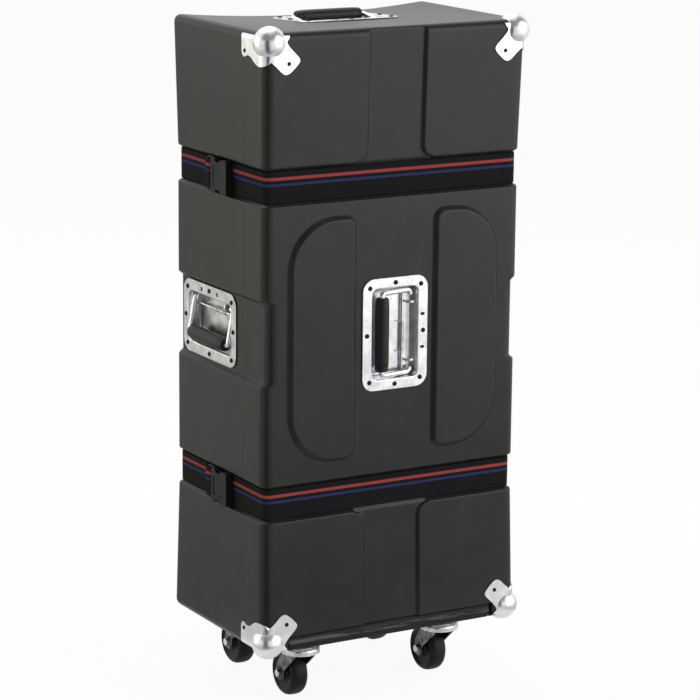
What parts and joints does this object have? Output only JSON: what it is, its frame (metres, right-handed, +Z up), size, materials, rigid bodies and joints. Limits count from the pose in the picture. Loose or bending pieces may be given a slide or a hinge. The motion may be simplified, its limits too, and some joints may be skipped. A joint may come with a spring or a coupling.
{
  "type": "drum hardware case",
  "caption": "Tall black moulded drum hardware case on swivel casters, with a lift-off front lid, two buckled straps, recessed bail handles and steel ball corners.",
  "frame": {"origin": "on the floor under the middle of the whole case", "axes": "+Z up along the tall side, -Y out of the front lid, -X out of the side with the buckles"},
  "size_m": [0.384, 0.26, 0.864],
  "materials": {
    "shell": "lightly textured moulded polyethylene, satin black",
    "board": "black, slightly rough",
    "zinc": "bright zinc-plated pressed steel",
    "corner_steel": "bright plated pressed steel, polished ball",
    "grip": "black moulded sleeve, satin",
    "webbing": "black woven webbing with a red and a blue line",
    "buckle": "black acetal, semi-gloss",
    "wheel": "black moulded wheel, rounded tread"
  },
  "bodies": {
    "case": {"base_shell": "shell", "caster_board": "board", "board_screw_1": "zinc", "board_screw_2": "zinc", "board_screw_3": "zinc", "board_screw_4": "zinc", "upper_strap_rear": "webbing", "lower_strap_rear": "webbing", "upper_buckle_male": "buckle", "lower_buckle_male": "buckle", "left_handle_plate": "zinc", "left_handle_spring": "zinc", "right_handle_plate": "zinc", "right_handle_spring": "zinc", "top_handle_plate": "zinc", "top_handle_spring": "zinc", "front_left_caster_plate": "zinc", "front_right_caster_plate": "zinc", "rear_left_caster_plate": "zinc", "rear_right_caster_plate": "zinc"},
    "lid": {"lid_shell": "shell", "front_handle_plate": "zinc", "front_handle_spring": "zinc", "upper_strap_front": "webbing", "lower_strap_front": "webbing", "upper_buckle_female": "buckle", "lower_buckle_female": "buckle", "top_left_ball_corner": "corner_steel", "top_right_ball_corner": "corner_steel", "bottom_left_ball_corner": "corner_steel", "bottom_right_ball_corner": "corner_steel"},
    "front_bail": {"front_handle_bail": "zinc", "front_handle_grip": "grip"},
    "left_bail": {"left_handle_bail": "zinc", "left_handle_grip": "grip"},
    "right_bail": {"right_handle_bail": "zinc", "right_handle_grip": "grip"},
    "top_bail": {"top_handle_bail": "zinc", "top_handle_grip": "grip"},
    "upper_prong_top_arm": {"upper_prong_top": "buckle"},
    "upper_prong_bottom_arm": {"upper_prong_bottom": "buckle"},
    "lower_prong_top_arm": {"lower_prong_top": "buckle"},
    "lower_prong_bottom_arm": {"lower_prong_bottom": "buckle"},
    "front_left_swivel": {"front_left_caster_fork": "zinc", "front_left_caster_axle": "zinc"},
    "front_left_roller": {"front_left_caster_wheel": "wheel"},
    "front_right_swivel": {"front_right_caster_fork": "zinc", "front_right_caster_axle": "zinc"},
    "front_right_roller": {"front_right_caster_wheel": "wheel"},
    "rear_left_swivel": {"rear_left_caster_fork": "zinc", "rear_left_caster_axle": "zinc"},
    "rear_left_roller": {"rear_left_caster_wheel": "wheel"},
    "rear_right_swivel": {"rear_right_caster_fork": "zinc", "rear_right_caster_axle": "zinc"},
    "rear_right_roller": {"rear_right_caster_wheel": "wheel"}
  },
  "joints": [
    {"name": "lid_lift_off", "type": "slide", "parent": "case", "child": "lid", "axis": [0, -1, 0], "range_m": [0, 0.15]},
    {"name": "front_handle_swing", "type": "hinge", "parent": "lid", "child": "front_bail", "pos_m": [0.026, -0.1118, 0.476], "axis": [0, 0, 1], "range_deg": [0, 90], "stiffness_Nm_per_rad": 0.12, "springref_deg": -28.65},
    {"name": "left_handle_swing", "type": "hinge", "parent": "case", "child": "left_bail", "pos_m": [-0.1709, 0.035, 0.5025], "axis": [0, 1, 0], "range_deg": [0, 90], "stiffness_Nm_per_rad": 0.12, "springref_deg": -28.65},
    {"name": "right_handle_swing", "type": "hinge", "parent": "case", "child": "right_bail", "pos_m": [0.1709, 0.035, 0.5025], "axis": [0, -1, 0], "range_deg": [0, 90], "stiffness_Nm_per_rad": 0.12, "springref_deg": -28.65},
    {"name": "top_handle_swing", "type": "hinge", "parent": "case", "child": "top_bail", "pos_m": [0, 0.00977, 0.84565], "axis": [1, 0, 0], "range_deg": [0, 90], "stiffness_Nm_per_rad": 0.12, "springref_deg": -28.65},
    {"name": "upper_prong_top_squeeze", "type": "slide", "parent": "case", "child": "upper_prong_top_arm", "axis": [0, 0, -1], "range_m": [0, 0.004], "stiffness_N_per_m": 900, "springref_m": -0.002},
    {"name": "upper_prong_bottom_squeeze", "type": "slide", "parent": "case", "child": "upper_prong_bottom_arm", "axis": [0, 0, 1], "range_m": [0, 0.004], "stiffness_N_per_m": 900, "springref_m": -0.002},
    {"name": "lower_prong_top_squeeze", "type": "slide", "parent": "case", "child": "lower_prong_top_arm", "axis": [0, 0, -1], "range_m": [0, 0.004], "stiffness_N_per_m": 900, "springref_m": -0.002},
    {"name": "lower_prong_bottom_squeeze", "type": "slide", "parent": "case", "child": "lower_prong_bottom_arm", "axis": [0, 0, 1], "range_m": [0, 0.004], "stiffness_N_per_m": 900, "springref_m": -0.002},
    {"name": "front_left_swivel_turn", "type": "hinge", "parent": "case", "child": "front_left_swivel", "pos_m": [-0.103, -0.069, 0.085], "axis": [0, 0, 1], "continuous": true},
    {"name": "front_left_wheel_roll", "type": "hinge", "parent": "front_left_swivel", "child": "front_left_roller", "pos_m": [-0.103, -0.042, 0.03], "axis": [1, 0, 0], "continuous": true},
    {"name": "front_right_swivel_turn", "type": "hinge", "parent": "case", "child": "front_right_swivel", "pos_m": [0.103, -0.069, 0.085], "axis": [0, 0, 1], "continuous": true},
    {"name": "front_right_wheel_roll", "type": "hinge", "parent": "front_right_swivel", "child": "front_right_roller", "pos_m": [0.103, -0.042, 0.03], "axis": [1, 0, 0], "continuous": true},
    {"name": "rear_left_swivel_turn", "type": "hinge", "parent": "case", "child": "rear_left_swivel", "pos_m": [-0.103, 0.073, 0.085], "axis": [0, 0, 1], "continuous": true},
    {"name": "rear_left_wheel_roll", "type": "hinge", "parent": "rear_left_swivel", "child": "rear_left_roller", "pos_m": [-0.103, 0.1, 0.03], "axis": [1, 0, 0], "continuous": true},
    {"name": "rear_right_swivel_turn", "type": "hinge", "parent": "case", "child": "rear_right_swivel", "pos_m": [0.103, 0.073, 0.085], "axis": [0, 0, 1], "continuous": true},
    {"name": "rear_right_wheel_roll", "type": "hinge", "parent": "rear_right_swivel", "child": "rear_right_roller", "pos_m": [0.103, 0.1, 0.03], "axis": [1, 0, 0], "continuous": true}
  ],
  "couplings": [
    {"joint": "upper_prong_bottom_squeeze", "follows": "upper_prong_top_squeeze", "ratio": 1},
    {"joint": "lower_prong_bottom_squeeze", "follows": "lower_prong_top_squeeze", "ratio": 1}
  ]
}
